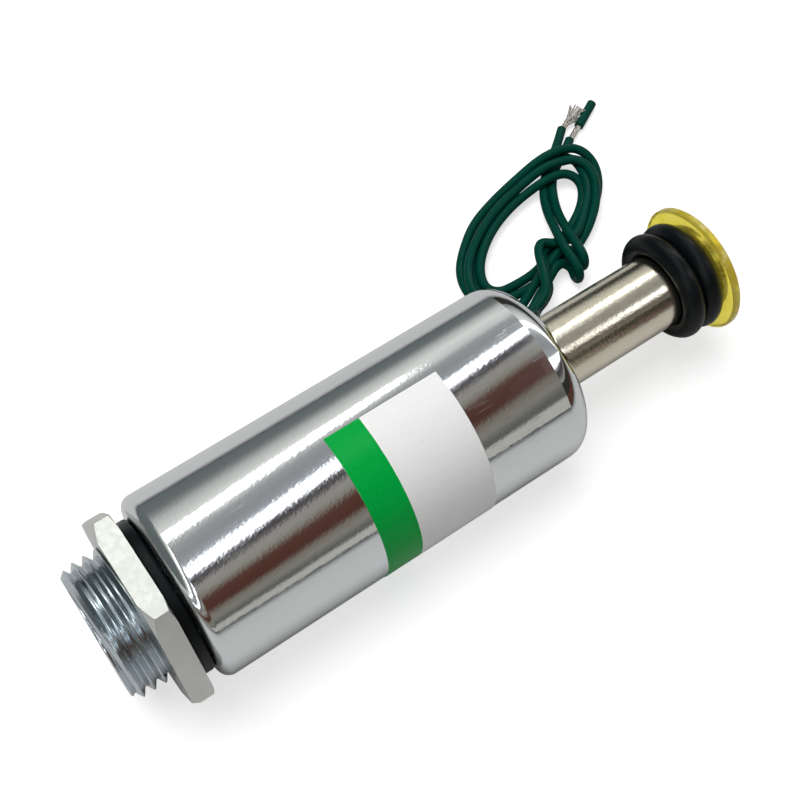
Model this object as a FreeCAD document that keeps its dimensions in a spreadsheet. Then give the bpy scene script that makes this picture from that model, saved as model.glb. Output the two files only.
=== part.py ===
"""Push pull solenoid, tubular, 25 mm case, M18 threaded nose, spring return. All lengths in mm.

The solenoid lies on its side. Its axis runs along X: the threaded nose points to -X and the
plunger stands out of the case at +X. Z is up, and the case rests on the surface at Z = 0.
Along the axis, every station is measured from the shoulder, the front face of the case.
"""
import FreeCAD, Part
import math
import os
import re

import Sketcher

doc = FreeCAD.newDocument("push_pull_solenoid")

# Driving dimensions

DRIVING = {
    # case, a drawn cup with a rounded rear end and a rolled front lip
    "case_dia": 25.0,
    "case_length": 55.6,
    "case_wall": 1.2,
    "rear_wall": 1.4,
    "rear_radius": 3.5,
    "lip_radius": 1.6,
    "lip_thick": 1.0,
    "lip_width": 2.7,
    "rear_hole_gap": 0.1,
    # front pole with the threaded nose
    "thread_dia": 18.0,
    "nose_length": 10.1,
    "nose_chamfer": 0.7,
    "flange_thick": 3.6,
    "pole_reach": 22.0,
    "seat_mouth": 9.2,
    "seat_half_angle": 30.0,
    "spring_pocket": 6.4,
    "spring_floor": 9.0,
    "bush_length": 5.0,
    "bush_dia": 5.0,
    "nose_recess_dia": 7.6,
    "nose_recess_depth": 5.0,
    # hardware on the nose
    "washer_dia": 21.0,
    "washer_bore": 19.0,
    "washer_thick": 1.7,
    "washer_round": 0.5,
    "washer_sag": 0.4,
    "nut_flats": 24.0,
    "nut_thick": 2.9,
    "nut_gap": 0.05,
    "nut_crown": 0.8,
    "nut_back_crown": 0.3,
    "crown_start": 0.8,
    "back_crown_start": 1.05,
    # plunger and what it carries
    "plunger_dia": 10.3,
    "plunger_gap": 0.07,
    "plunger_out": 20.25,
    "travel_full": 19.5,
    "seat_gap": 0.3,
    "tip_dia": 6.6,
    "tip_step": 0.1,
    "edge_break": 0.25,
    "end_chamfer": 0.4,
    "cup_dia": 5.8,
    "cup_depth": 4.0,
    "rod_dia": 3.0,
    "rod_gap": 0.05,
    "rod_socket": 7.3,
    "rod_recess": 0.8,
    "drill_point": 0.5,
    "neck_dia": 9.3,
    "ring_section": 3.0,
    "ring_inner": 9.54,
    "ring_lead": 1.1,
    "disc_dia": 18.1,
    "disc_thick": 1.3,
    "disc_bore_gap": 0.1,
    "disc_bevel": 0.35,
    "snap_dia": 12.5,
    "snap_thick": 0.8,
    "snap_groove": 8.0,
    "snap_mouth": 0.8,
    "neck_end": 1.3,
    "rod_clip_dia": 6.6,
    "rod_clip_thick": 0.6,
    "rod_clip_groove": 2.3,
    # magnetic circuit and coil
    "tube_wall": 0.48,
    "flux_ring_thick": 4.0,
    "bobbin_hub_wall": 0.9,
    "bobbin_flange": 1.0,
    "bobbin_gap": 0.3,
    "winding_inset": 0.8,
    "tape_thick": 0.18,
    "fit": 0.05,
    "slip": 0.02,
    "tool_over": 1.0,
    # return spring
    "spring_wire": 0.4,
    "spring_mean": 4.6,
    "spring_turns": 10.0,
    # label
    "label_start": 23.3,
    "label_length": 16.1,
    "label_thick": 0.08,
    "label_top_angle": 94.0,
    "label_sweep": 158.0,
    # leads
    "lead_dia": 1.4,
    "lead_pitch": 1.6,
    "exit_inset": 3.3,
    "exit_drop": 2.8,
    "grommet_dia": 3.8,
    "hank_thick": 4.2,
}

# Dimensions that follow from the driving ones

DERIVED = {
    "case_r": "case_dia / 2",
    "case_bore_r": "case_r - case_wall",
    "lip_opening_r": "case_r - lip_width",
    "tube_bore_r": "plunger_dia / 2 + plunger_gap",
    "tube_r": "tube_bore_r + tube_wall",
    "rear_hole_r": "tube_r + rear_hole_gap",
    "flange_end": "lip_thick + flange_thick",
    "cup_floor": "case_length - rear_wall",
    "inner_round": "rear_radius - case_wall",
    "flux_start": "cup_floor - flux_ring_thick",
    "bobbin_start": "flange_end + fit",
    "bobbin_length": "flux_start - fit - bobbin_start",
    "bobbin_bore_r": "tube_r + fit",
    "bobbin_hub_r": "bobbin_bore_r + bobbin_hub_wall",
    "bobbin_flange_r": "case_bore_r - bobbin_gap",
    "winding_r": "bobbin_flange_r - winding_inset",
    "winding_start": "bobbin_start + bobbin_flange + fit",
    "winding_length": "bobbin_length - 2 * bobbin_flange - 2 * fit",
    "seat_depth": "(seat_mouth - spring_pocket) / 2 / tan(seat_half_angle * 1deg)",
    "cone_base": "pole_reach + seat_gap + travel_full",
    "cone_base_r": "seat_mouth / 2 - tip_step",
    "cone_length": "(cone_base_r - tip_dia / 2) / tan(seat_half_angle * 1deg)",
    "cone_tip": "cone_base - cone_length",
    "cup_floor_x": "cone_tip + cup_depth",
    "rod_end": "cup_floor_x + rod_socket",
    "neck_start": "case_length + plunger_out",
    "ring_mean_r": "(ring_inner + ring_section) / 2",
    "ring_one": "neck_start + ring_lead",
    "ring_two": "ring_one + ring_section + slip",
    "disc_start": "ring_two + ring_section / 2 + slip",
    "snap_start": "disc_start + disc_thick + fit",
    "plunger_end": "snap_start + snap_thick + fit + neck_end",
    "shoulder_x": "(nose_length - plunger_end) / 2",
    "axis_height": "case_r",
    "recess_floor": "nose_recess_depth - nose_length",
    "rod_tip": "rod_recess - nose_length",
    "rod_clip_start": "recess_floor - rod_clip_thick - fit",
    "washer_start": "-washer_thick - fit",
    "nut_start": "washer_start - fit - nut_thick",
    "nut_corner_r": "nut_flats / 2 / cos(30deg)",
    "grommet_lead_r": "lead_dia / 2 + slip",
    "exit_side": "case_r - exit_inset",
    "exit_height": "case_r - exit_drop",
}

sheet = doc.addObject("Spreadsheet::Sheet", "Spec")
FUNCTIONS = {"tan", "cos", "sin", "sqrt", "deg"}


def bind(text):
    """Writes the sheet's name before each alias in an expression."""
    def named(match):
        word = match.group(0)
        return word if word in FUNCTIONS else "Spec." + word
    return re.sub(r"(?<![\w.])[a-z][a-z_]+", named, text)


def fill_sheet():
    row = 1
    for alias, number in DRIVING.items():
        sheet.set(f"A{row}", alias)
        sheet.set(f"B{row}", str(number))
        sheet.setAlias(f"B{row}", alias)
        row += 1
    for alias, formula in DERIVED.items():
        sheet.set(f"A{row}", alias)
        sheet.set(f"B{row}", "=" + formula)
        sheet.setAlias(f"B{row}", alias)
        row += 1
    doc.recompute()


def size(text):
    """The number that an expression in the sheet's aliases gives now."""
    return float(sheet.evalExpression(bind(text)))


fill_sheet()

# Helpers

nodes = []


def seat(piece, label, station="0"):
    """Names a sub-part, and sets it on the axis at a station from the shoulder."""
    piece.Label = label
    piece.setExpression("Placement.Base.x", bind(f"shoulder_x + {station}"))
    piece.setExpression("Placement.Base.z", bind("axis_height"))
    nodes.append(piece)
    return piece


def new_body(name):
    return doc.addObject("PartDesign::Body", name + "_body")


def origin_plane(body, role):
    return next(f for f in body.Origin.OriginFeatures if f.Role == role)


def new_sketch(body, name, role, offset=None):
    sketch = body.newObject("Sketcher::SketchObject", name)
    sketch.AttachmentSupport = (origin_plane(body, role), [""])
    sketch.MapMode = "FlatFace"
    if offset is not None:
        sketch.setExpression("AttachmentOffset.Base.z", bind(offset))
    return sketch


def apply(sketch, wanted):
    """Adds constraints in one go. wanted holds (constraint, name, expression), with no name where
    nothing drives it."""
    first = sketch.ConstraintCount
    sketch.addConstraint([constraint for constraint, _, _ in wanted])
    for index, (_, name, text) in enumerate(wanted, first):
        if name:
            sketch.renameConstraint(index, name)
            sketch.setExpression("Constraints." + name, bind(text))


def place(geometry, point, across, across_text, up, up_text):
    """Constraints that hold a sketch point at two expressions' values."""
    wanted = []
    for kind, axis, name, text in (("DistanceX", -2, across, across_text), ("DistanceY", -1, up, up_text)):
        number = size(text)
        if abs(number) < 1e-9:
            wanted.append((Sketcher.Constraint("PointOnObject", geometry, point, axis), None, None))
        else:
            wanted.append((Sketcher.Constraint(kind, -1, 1, geometry, point, number), name, text))
    return wanted


def profile(sketch, corners, arcs=()):
    """A closed outline. corners are (station, radius) expressions. arcs maps a corner's number to
    (radius, centre station, centre radius) for the stretch from it to the next corner."""
    arcs = dict(arcs)
    points = [FreeCAD.Vector(size(x), size(r), 0) for x, r in corners]
    count = len(points)
    first = sketch.GeometryCount
    for i in range(count):
        start, end = points[i], points[(i + 1) % count]
        if i not in arcs:
            sketch.addGeometry(Part.LineSegment(start, end))
            continue
        radius, cx, cr = arcs[i]
        centre = FreeCAD.Vector(size(cx), size(cr), 0)
        a = math.atan2(start.y - centre.y, start.x - centre.x)
        b = math.atan2(end.y - centre.y, end.x - centre.x)
        turn = (b - a + math.pi) % (2 * math.pi) - math.pi
        ring = Part.Circle(centre, FreeCAD.Vector(0, 0, 1), size(radius))
        sketch.addGeometry(Part.ArcOfCircle(ring, min(a, a + turn), max(a, a + turn)))
    starts = []
    for i in range(count):
        edge = sketch.Geometry[first + i]
        starts.append(1 if (edge.StartPoint - points[i]).Length < 1e-6 else 2)
    wanted = []
    for i in range(count):
        following = (i + 1) % count
        joint = Sketcher.Constraint("Coincident", first + i, 3 - starts[i], first + following, starts[following])
        wanted.append((joint, None, None))
    for i, (x, r) in enumerate(corners, first):
        wanted += place(i, starts[i - first], f"station_{i}", x, f"radius_{i}", r)
    for i, (radius, _, _) in arcs.items():
        held = Sketcher.Constraint("Radius", first + i, size(radius))
        wanted.append((held, f"round_{first + i}", radius))
    apply(sketch, wanted)


def turned(name, corners, arcs=()):
    """A body turned about the axis from one closed half outline."""
    body = new_body(name)
    sketch = new_sketch(body, name + "_outline", "XY_Plane")
    profile(sketch, corners, arcs)
    revolve = body.newObject("PartDesign::Revolution", name + "_turned")
    revolve.Profile = sketch
    revolve.ReferenceAxis = (sketch, ["H_Axis"])
    revolve.Angle = 360
    sketch.Visibility = False
    return body


def circle(sketch, side, height, radius, name):
    centre = FreeCAD.Vector(size(side), size(height), 0)
    index = sketch.addGeometry(Part.Circle(centre, FreeCAD.Vector(0, 0, 1), size(radius)))
    wanted = place(index, 3, name + "_side", side, name + "_height", height)
    wanted.append((Sketcher.Constraint("Radius", index, size(radius)), name + "_radius", radius))
    apply(sketch, wanted)


def drill(body, name, side, height, radius, start, depth):
    """Cuts a round hole along the axis direction, from a station back towards the nose."""
    doc.recompute()
    before = body.Shape.Volume
    sketch = new_sketch(body, name + "_place", "YZ_Plane", start)
    circle(sketch, side, height, radius, "hole")
    pocket = body.newObject("PartDesign::Pocket", name)
    pocket.Profile = sketch
    pocket.setExpression("Length", bind(depth))
    sketch.Visibility = False
    doc.recompute()
    if body.Shape.Volume >= before - 0.01:
        raise RuntimeError(name + " cuts nothing")


def sleeve(label, outer_r, inner_r, length, station):
    """A plain tube: one cylinder less another."""
    outer = doc.addObject("Part::Cylinder", label + "_outer")
    inner = doc.addObject("Part::Cylinder", label + "_inner")
    for part, radius in ((outer, outer_r), (inner, inner_r)):
        part.setExpression("Radius", bind(radius))
        part.setExpression("Height", bind(length))
    tube = doc.addObject("Part::Cut", label + "_cut")
    tube.Base = outer
    tube.Tool = inner
    tube.Placement.Rotation = ALONG_X
    return seat(tube, label, station)


ALONG_X = FreeCAD.Rotation(FreeCAD.Vector(0, 1, 0), 90)

# Housing


def make_outer_case():
    corners = [
        ("0", "lip_opening_r"),
        ("0", "case_r - lip_radius"),
        ("lip_radius", "case_r"),
        ("case_length - rear_radius", "case_r"),
        ("case_length", "case_r - rear_radius"),
        ("case_length", "rear_hole_r"),
        ("cup_floor", "rear_hole_r"),
        ("cup_floor", "case_bore_r - inner_round"),
        ("cup_floor - inner_round", "case_bore_r"),
        ("lip_thick", "case_bore_r"),
        ("lip_thick", "lip_opening_r"),
    ]
    arcs = {
        1: ("lip_radius", "lip_radius", "case_r - lip_radius"),
        3: ("rear_radius", "case_length - rear_radius", "case_r - rear_radius"),
        7: ("inner_round", "cup_floor - inner_round", "case_bore_r - inner_round"),
    }
    body = turned("outer_case", corners, arcs)
    drill(body, "lead_hole", "exit_side", "-exit_drop", "grommet_dia / 2 + fit",
          "case_length + tool_over", "rear_wall + inner_round + 2 * tool_over")
    return seat(body, "outer_case")


def make_front_pole():
    corners = [
        ("-nose_length", "nose_recess_dia / 2"),
        ("-nose_length", "thread_dia / 2 - nose_chamfer"),
        ("-nose_length + nose_chamfer", "thread_dia / 2"),
        ("0", "thread_dia / 2"),
        ("0", "lip_opening_r - fit"),
        ("lip_thick + fit", "lip_opening_r - fit"),
        ("lip_thick + fit", "case_bore_r - fit"),
        ("flange_end", "case_bore_r - fit"),
        ("flange_end", "tube_bore_r - slip"),
        ("pole_reach", "tube_bore_r - slip"),
        ("pole_reach", "seat_mouth / 2"),
        ("pole_reach - seat_depth", "spring_pocket / 2"),
        ("spring_floor", "spring_pocket / 2"),
        ("spring_floor", "bush_dia / 2"),
        ("spring_floor - bush_length", "bush_dia / 2"),
        ("spring_floor - bush_length", "rod_dia / 2 + 2 * rod_gap"),
        ("recess_floor", "rod_dia / 2 + 2 * rod_gap"),
        ("recess_floor", "nose_recess_dia / 2"),
    ]
    return seat(turned("front_pole", corners), "front_pole")


def make_rear_flux_ring():
    corners = [
        ("flux_start", "tube_r + fit"),
        ("flux_start", "case_bore_r - fit"),
        ("cup_floor - inner_round", "case_bore_r - fit"),
        ("cup_floor - fit", "case_bore_r - fit - inner_round"),
        ("cup_floor - fit", "tube_r + fit"),
    ]
    body = turned("rear_flux_ring", corners)
    drill(body, "flux_ring_lead_hole", "exit_side", "-exit_drop", "lead_pitch + fit",
          "case_length", "flux_ring_thick + rear_wall + tool_over")
    return seat(body, "rear_flux_ring")


def make_coil_bobbin():
    flange_r = "bobbin_flange_r"
    corners = [
        ("bobbin_start", "bobbin_bore_r"),
        ("bobbin_start", flange_r),
        ("bobbin_start + bobbin_flange", flange_r),
        ("bobbin_start + bobbin_flange", "bobbin_hub_r"),
        ("bobbin_start + bobbin_length - bobbin_flange", "bobbin_hub_r"),
        ("bobbin_start + bobbin_length - bobbin_flange", flange_r),
        ("bobbin_start + bobbin_length", flange_r),
        ("bobbin_start + bobbin_length", "bobbin_bore_r"),
    ]
    body = turned("coil_bobbin", corners)
    drill(body, "flange_lead_notch", "exit_side", "-exit_drop", "lead_pitch + fit",
          "flux_start", "bobbin_flange + 2 * fit")
    return seat(body, "coil_bobbin")


def make_coil():
    sleeve("coil_winding", "winding_r", "bobbin_hub_r + slip", "winding_length", "winding_start")
    sleeve("coil_tape", "winding_r + slip + tape_thick", "winding_r + slip",
           "winding_length", "winding_start")
    sleeve("guide_tube", "tube_r", "tube_bore_r", "case_length - flange_end - 4 * fit", "flange_end + fit")
    sleeve("rod_bush", "bush_dia / 2 - slip", "rod_dia / 2 + rod_gap", "bush_length - 2 * fit",
           "spring_floor - bush_length + fit")


def make_lead_grommet():
    body = new_body("lead_grommet")
    sketch = new_sketch(body, "grommet_section", "YZ_Plane", "cup_floor + fit")
    circle(sketch, "exit_side", "-exit_drop", "grommet_dia / 2", "rim")
    circle(sketch, "exit_side", "-exit_drop + lead_pitch / 2", "grommet_lead_r", "upper")
    circle(sketch, "exit_side", "-exit_drop - lead_pitch / 2", "grommet_lead_r", "lower")
    pad = body.newObject("PartDesign::Pad", "grommet_pad")
    pad.Profile = sketch
    pad.setExpression("Length", bind("rear_wall + 2 * fit"))
    sketch.Visibility = False
    return seat(body, "lead_grommet")


def make_rating_label():
    outer = doc.addObject("Part::Cylinder", "label_outer")
    inner = doc.addObject("Part::Cylinder", "label_inner")
    outer.setExpression("Radius", bind("case_r + label_thick"))
    inner.setExpression("Radius", bind("case_r"))
    for part in (outer, inner):
        part.setExpression("Height", bind("label_length"))
    outer.setExpression("Angle", bind("label_sweep"))
    label = doc.addObject("Part::Cut", "label_cut")
    label.Base = outer
    label.Tool = inner
    turn = FreeCAD.Rotation(FreeCAD.Vector(1, 0, 0), 270 - size("label_top_angle"))
    label.Placement.Rotation = turn.multiply(ALONG_X)
    return seat(label, "rating_label", "label_start")


# Hardware on the nose


def make_seal_washer():
    inner, outer = "washer_bore / 2", "washer_dia / 2"
    front, back = "washer_start", "washer_start + washer_thick"
    corners = [
        (front, inner),
        (front, f"{outer} - washer_round"),
        (f"{front} + washer_round", outer),
        (f"{back} - washer_round", outer),
        (back, f"{outer} - washer_round"),
        (back, inner),
    ]
    arcs = {
        1: ("washer_round", f"{front} + washer_round", f"{outer} - washer_round"),
        3: ("washer_round", f"{back} - washer_round", f"{outer} - washer_round"),
    }
    washer = seat(turned("seal_washer", corners, arcs), "seal_washer")
    washer.setExpression("Placement.Base.z", bind("axis_height - washer_sag"))
    return washer


def make_mounting_nut():
    body = new_body("mounting_nut")
    sketch = new_sketch(body, "nut_hexagon", "YZ_Plane", "nut_start")
    hexagon = [(f"nut_corner_r * cos({60 * k}deg)", f"nut_corner_r * sin({60 * k}deg)") for k in range(6)]
    profile(sketch, hexagon)
    circle(sketch, "0", "0", "thread_dia / 2 + nut_gap", "bore")
    pad = body.newObject("PartDesign::Pad", "nut_pad")
    pad.Profile = sketch
    pad.setExpression("Length", bind("nut_thick"))
    sketch.Visibility = False
    doc.recompute()
    before = body.Shape.Volume
    crown = new_sketch(body, "nut_crown_outline", "XY_Plane")
    reach = "nut_corner_r + tool_over"
    for face, sign, depth, start in (("nut_start", 1, "nut_crown", "crown_start"),
                                     ("nut_start + nut_thick", -1, "nut_back_crown", "back_crown_start")):
        inner = f"nut_flats / 2 + {start}"
        rise = f"{depth} / (nut_corner_r - ({inner}))"
        foot = f"{inner} - slip / ({rise})"
        tip = f"{face} + {sign} * ({rise}) * ({reach} - ({inner}))"
        outside = f"{face} - {sign} * slip"
        profile(crown, [(outside, foot), (outside, reach), (tip, reach)])
    groove = body.newObject("PartDesign::Groove", "nut_crowns")
    groove.Profile = crown
    groove.ReferenceAxis = (crown, ["H_Axis"])
    groove.Angle = 360
    crown.Visibility = False
    doc.recompute()
    if body.Shape.Volume >= before - 0.01:
        raise RuntimeError("the nut's corners aren't chamfered")
    return seat(body, "mounting_nut")


# Plunger and what moves with it


def make_plunger():
    corners = [
        ("cup_floor_x", "rod_dia / 2 + slip / 2"),
        ("cup_floor_x", "cup_dia / 2"),
        ("cone_tip", "cup_dia / 2"),
        ("cone_tip", "tip_dia / 2"),
        ("cone_base", "cone_base_r"),
        ("cone_base", "plunger_dia / 2 - edge_break"),
        ("cone_base + edge_break", "plunger_dia / 2"),
        ("neck_start - edge_break", "plunger_dia / 2"),
        ("neck_start", "plunger_dia / 2 - edge_break"),
        ("neck_start", "neck_dia / 2"),
        ("snap_start - fit / 2", "neck_dia / 2"),
        ("snap_start - fit / 2", "snap_groove / 2"),
        ("snap_start + snap_thick + fit / 2", "snap_groove / 2"),
        ("snap_start + snap_thick + fit / 2", "neck_dia / 2"),
        ("plunger_end - end_chamfer", "neck_dia / 2"),
        ("plunger_end", "neck_dia / 2 - end_chamfer"),
        ("plunger_end", "0"),
        ("rod_end + 2 * fit + drill_point", "0"),
        ("rod_end + 2 * fit", "rod_dia / 2 + slip / 2"),
    ]
    return seat(turned("plunger", corners), "plunger")


def make_push_rod():
    corners = [
        ("rod_tip", "0"),
        ("rod_tip", "rod_dia / 2 - end_chamfer"),
        ("rod_tip + end_chamfer", "rod_dia / 2"),
        ("rod_clip_start - fit / 2", "rod_dia / 2"),
        ("rod_clip_start - fit / 2", "rod_clip_groove / 2"),
        ("rod_clip_start + rod_clip_thick + fit / 2", "rod_clip_groove / 2"),
        ("rod_clip_start + rod_clip_thick + fit / 2", "rod_dia / 2"),
        ("rod_end", "rod_dia / 2"),
        ("rod_end", "0"),
    ]
    return seat(turned("push_rod", corners), "push_rod")


def make_snap_ring(label, outer_dia, groove_dia, thick, station):
    """An open retaining ring: a flat washer with a mouth at its lower side."""
    plate = doc.addObject("Part::Cylinder", label + "_plate")
    bore = doc.addObject("Part::Cylinder", label + "_bore")
    mouth = doc.addObject("Part::Box", label + "_mouth")
    plate.setExpression("Radius", bind(f"{outer_dia} / 2"))
    bore.setExpression("Radius", bind(f"{groove_dia} / 2 + slip"))
    for part in (plate, bore):
        part.setExpression("Height", bind(thick))
    mouth.setExpression("Length", bind(f"{outer_dia}"))
    mouth.setExpression("Width", bind(f"{groove_dia} * snap_mouth"))
    mouth.setExpression("Height", bind(thick))
    mouth.setExpression("Placement.Base.y", bind(f"-{groove_dia} * snap_mouth / 2"))
    tool = doc.addObject("Part::Fuse", label + "_tool")
    tool.Base = bore
    tool.Tool = mouth
    ring = doc.addObject("Part::Cut", label + "_cut")
    ring.Base = plate
    ring.Tool = tool
    ring.Placement.Rotation = ALONG_X
    return seat(ring, label, station)


def make_damper_rings():
    for label, station in (("damper_ring_front", "ring_one"), ("damper_ring_rear", "ring_two")):
        ring = doc.addObject("Part::Torus", label + "_torus")
        ring.setExpression("Radius1", bind("ring_mean_r"))
        ring.setExpression("Radius2", bind("ring_section / 2"))
        ring.Placement.Rotation = ALONG_X
        seat(ring, label, station)


def make_stop_disc():
    corners = [
        ("disc_start", "neck_dia / 2 + disc_bore_gap"),
        ("disc_start", "disc_dia / 2 - disc_bevel"),
        ("disc_start + disc_bevel", "disc_dia / 2"),
        ("disc_start + disc_thick - disc_bevel", "disc_dia / 2"),
        ("disc_start + disc_thick", "disc_dia / 2 - disc_bevel"),
        ("disc_start + disc_thick", "neck_dia / 2 + disc_bore_gap"),
    ]
    return seat(turned("stop_disc", corners), "stop_disc")


def make_return_spring():
    """A helix of round wire about the push rod, from the pole's pocket to the plunger's cup."""
    body = new_body("return_spring")
    section = new_sketch(body, "wire_section", "XY_Plane")
    circle(section, "spring_floor + spring_wire / 2 + fit", "spring_mean / 2", "spring_wire / 2", "wire")
    coil = body.newObject("PartDesign::AdditiveHelix", "spring_coil")
    coil.Profile = section
    coil.ReferenceAxis = (section, ["H_Axis"])
    coil.Mode = "height-turns-growth"
    coil.setExpression("Height", bind("cup_floor_x - spring_floor - spring_wire - 2 * fit"))
    coil.setExpression("Turns", bind("spring_turns"))
    section.Visibility = False
    return seat(body, "return_spring")


# Leads


def rounded_path(points):
    """Straight runs joined by arcs as large as the shorter run beside each point allows."""
    edges = []
    radii = []
    last = points[0]
    for before, here, after in zip(points, points[1:], points[2:]):
        back = (before - here).normalize()
        ahead = (after - here).normalize()
        turn = math.pi - back.getAngle(ahead)
        reach = 0.45 * min((before - here).Length, (after - here).Length)
        radii.append(reach / math.tan(turn / 2))
        first = here + back * reach
        second = here + ahead * reach
        inward = (back + ahead).normalize()
        middle = here + inward * (radii[-1] / math.cos(turn / 2) - radii[-1])
        edges.append(Part.LineSegment(last, first).toShape())
        edges.append(Part.Arc(first, middle, second).toShape())
        last = second
    edges.append(Part.LineSegment(last, points[-1]).toShape())
    return Part.Wire(edges), radii


def keep_solid(label, solid):
    piece = doc.addObject("Part::Feature", label + "_solid")
    piece.Shape = solid
    piece.Placement = FreeCAD.Placement()
    piece.Label = label
    nodes.append(piece)


def make_tube(label, route, diameter):
    """A round solid along a route of points in the part's own frame."""
    path, radii = rounded_path(route)
    section = Part.Wire([Part.Circle(route[0], route[1] - route[0], diameter / 2).toShape()])
    solid = Part.Wire(path.Edges).makePipeShell([section], True, False)
    expected = math.pi * diameter ** 2 / 4 * path.Length
    print(f"{label}: length {path.Length:.1f}, radii {[round(r, 1) for r in radii]}, "
          f"volume over section times length {solid.Volume / expected:.4f}")
    keep_solid(label, solid)


def make_rod(label, start, end, start_dia, end_dia):
    """A straight round piece that tapers from one diameter to another."""
    along = end - start
    if abs(start_dia - end_dia) < 1e-6:
        keep_solid(label, Part.makeCylinder(start_dia / 2, along.Length, start, along))
    else:
        keep_solid(label, Part.makeCone(start_dia / 2, end_dia / 2, along.Length, start, along))


def rounded_loop(points):
    """A closed flat outline with an arc at each point, as large as the shorter run allows."""
    edges = []
    count = len(points)
    arcs = []
    for k in range(count):
        here = points[k]
        back = (points[k - 1] - here).normalize()
        ahead = (points[(k + 1) % count] - here).normalize()
        turn = math.pi - back.getAngle(ahead)
        reach = 0.45 * min((points[k - 1] - here).Length, (points[(k + 1) % count] - here).Length)
        radius = reach / math.tan(turn / 2)
        middle = here + (back + ahead).normalize() * (radius / math.cos(turn / 2) - radius)
        arcs.append((here + back * reach, middle, here + ahead * reach))
    for k in range(count):
        first, middle, second = arcs[k]
        edges.append(Part.Arc(first, middle, second).toShape())
        edges.append(Part.LineSegment(second, arcs[(k + 1) % count][0]).toShape())
    return Part.Wire(edges)


# The two leads leave the grommet one above the other, drop to the surface behind the plunger and
# run into a loose hank of two long turns each. Points are in the part's own frame, and the two routes
# start at the grommet.
LEAD_ROUTES = {
    "upper": [(21.9, 9.2, 10.5), (25.6, 10.0, 8.4), (29.2, 11.9, 5.2), (32.4, 15.9, 3.3)],
    "lower": [(20.4, 9.2, 8.9), (23.6, 10.5, 6.6), (27.0, 13.4, 3.2), (29.6, 17.0, 1.6)],
}
HANK_OUTSIDE = [(22.6, 22.0), (26.2, 28.0), (34.5, 32.6), (45.0, 35.2), (51.8, 33.2), (51.6, 25.4),
                (45.6, 19.0), (40.4, 15.0), (33.0, 14.6), (24.2, 16.8)]
HANK_INSIDE = [(27.0, 21.0), (31.2, 25.4), (37.4, 27.8), (43.6, 28.4), (46.2, 26.2), (43.2, 22.2),
               (37.6, 19.6), (29.6, 18.4)]
UPPER_TAIL = [(46.6, 31.6, 1.5), (49.2, 33.7, 1.0), (51.9, 35.7, 0.75)]
UPPER_STRANDS = [(51.9, 35.7, 0.75), (56.2, 37.9, 1.0)]
LOWER_STRANDS = [(50.6, 32.3, 0.9), (54.3, 34.9, 0.75)]
LOWER_SLUG = [(54.3, 34.9, 0.75), (59.2, 37.6, 0.75)]
# Widths of the bare strands, as shares of the lead's diameter: the upper ones fan out
UPPER_STRANDS_START = 0.8
UPPER_STRANDS_END = 1.3
LOWER_STRANDS_WIDTH = 0.7


def vectors(points):
    return [FreeCAD.Vector(*p) for p in points]


def make_leads():
    dia = size("lead_dia")
    side = size("exit_side")
    for name, step in (("upper", 0.5), ("lower", -0.5)):
        height = size("exit_height") + step * size("lead_pitch")
        start = FreeCAD.Vector(size("shoulder_x + cup_floor + fit"), side, height)
        make_tube(f"lead_{name}", [start] + vectors(LEAD_ROUTES[name]), dia)
        sleeve_start = FreeCAD.Vector(size("shoulder_x + flux_start - bobbin_flange"), side, height)
        sleeve_end = FreeCAD.Vector(size("shoulder_x + cup_floor"), side, height)
        make_rod(f"splice_sleeve_{name}", sleeve_start, sleeve_end, dia, dia)
    outside = rounded_loop([FreeCAD.Vector(x, y, 0) for x, y in HANK_OUTSIDE])
    inside = rounded_loop([FreeCAD.Vector(x, y, 0) for x, y in HANK_INSIDE])
    rise = FreeCAD.Vector(0, 0, size("hank_thick"))
    hank = Part.Face(outside).extrude(rise).cut(Part.Face(inside).extrude(rise))
    keep_solid("lead_hank", hank)
    make_tube("lead_upper_tail", vectors(UPPER_TAIL), dia)
    make_rod("strands_upper", *vectors(UPPER_STRANDS), UPPER_STRANDS_START * dia, UPPER_STRANDS_END * dia)
    make_rod("strands_lower", *vectors(LOWER_STRANDS), LOWER_STRANDS_WIDTH * dia, LOWER_STRANDS_WIDTH * dia)
    make_rod("insulation_slug", *vectors(LOWER_SLUG), dia, dia)


for maker in (make_outer_case, make_front_pole, make_rear_flux_ring, make_coil_bobbin, make_coil,
              make_lead_grommet, make_rating_label, make_seal_washer, make_mounting_nut, make_plunger,
              make_push_rod, make_damper_rings, make_stop_disc, make_return_spring):
    maker()
make_snap_ring("rod_clip", "rod_clip_dia", "rod_clip_groove", "rod_clip_thick", "rod_clip_start")
make_snap_ring("retaining_ring", "snap_dia", "snap_groove", "snap_thick", "snap_start")
make_leads()

doc.recompute()

# Checks, then one STEP file for each sub-part

for item in doc.Objects:
    if "Invalid" in item.State or "Error" in item.State:
        raise RuntimeError(f"{item.Name} ({item.Label}) failed: {item.State}")
os.makedirs("parts", exist_ok=True)
for node in nodes:
    shape = node.Shape
    if shape.isNull() or not shape.isValid() or not shape.Solids:
        raise RuntimeError(f"{node.Label} is not a sound solid")
    shape.exportStep(f"parts/{node.Label}.step")
    box = shape.BoundBox
    print(f"{node.Label:20s} x {box.XMin:7.2f} {box.XMax:7.2f}  y {box.YMin:7.2f} {box.YMax:7.2f}  "
          f"z {box.ZMin:6.2f} {box.ZMax:6.2f}  volume {shape.Volume:9.2f}")
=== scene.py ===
"""Looks of a tubular push pull solenoid: threaded nose with nut and washer, chrome case with a bare
label, nickel plunger with two rubber rings and an amber disc, and two green leads in a loose hank."""

import math
import random

import bmesh
import bpy
from mathutils import Matrix, Vector


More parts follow.
